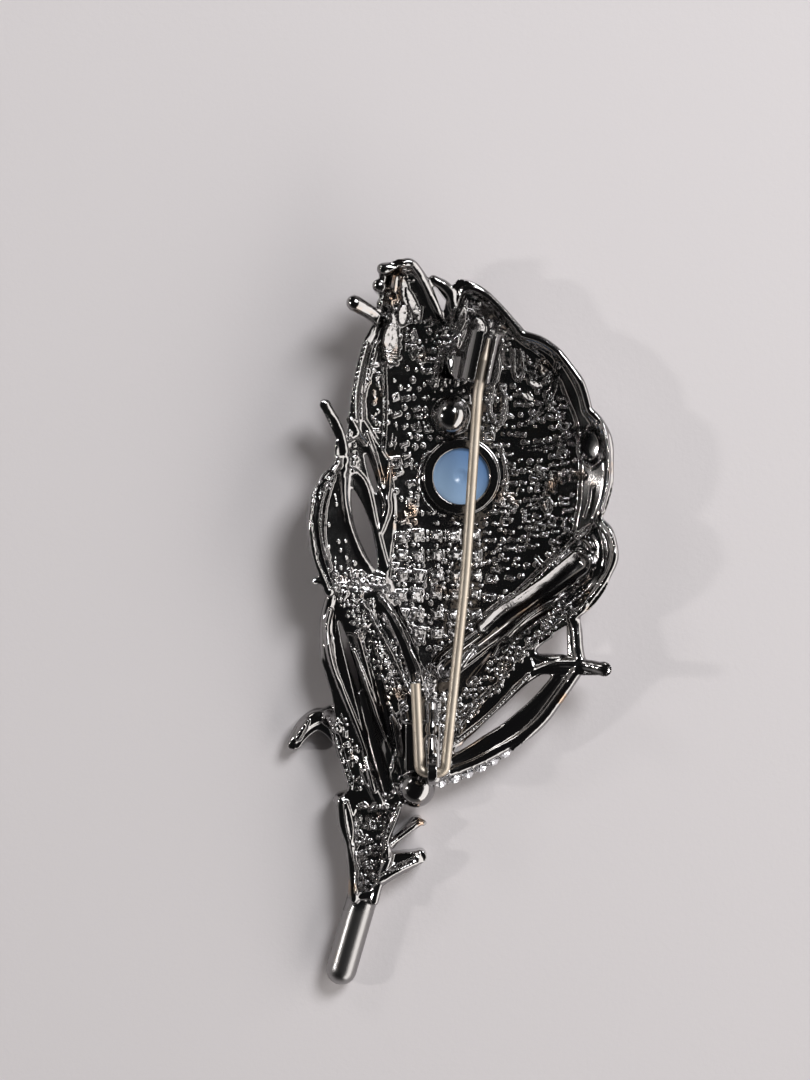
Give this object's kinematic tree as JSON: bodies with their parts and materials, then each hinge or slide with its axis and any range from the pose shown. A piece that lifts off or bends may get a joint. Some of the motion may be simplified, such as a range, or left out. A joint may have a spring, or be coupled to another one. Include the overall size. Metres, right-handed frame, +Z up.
{
  "type": "peacock feather brooch",
  "caption": "Cast peacock feather brooch lying face down, with a dished open back, hinged wire pin, rolled catch and round blue stone.",
  "frame": {"origin": "middle of the brooch's footprint, on the surface it lies on", "axes": "+Y from the quill's stem to the crest, +X to the right as seen from behind, +Z up from the surface through the open back"},
  "size_m": [0.0326, 0.0725, 0.0091],
  "materials": {
    "gunmetal": "polished",
    "pin_steel": "satin",
    "blue_stone": "gloss",
    "crystal": "gloss"
  },
  "bodies": {
    "brooch": {"feather_casting": "gunmetal", "eye_stone": "blue_stone", "edge_crystal_1": "crystal", "edge_crystal_2": "crystal", "edge_crystal_3": "crystal", "edge_crystal_4": "crystal", "edge_crystal_5": "crystal", "edge_crystal_6": "crystal"},
    "pin": {"pin_wire": "pin_steel"}
  },
  "joints": [
    {"name": "pin_swing", "type": "hinge", "parent": "brooch", "child": "pin", "pos_m": [-0.00177, -0.01445, 0.0068], "axis": [1, 0, 0], "range_deg": [0, 110]}
  ]
}
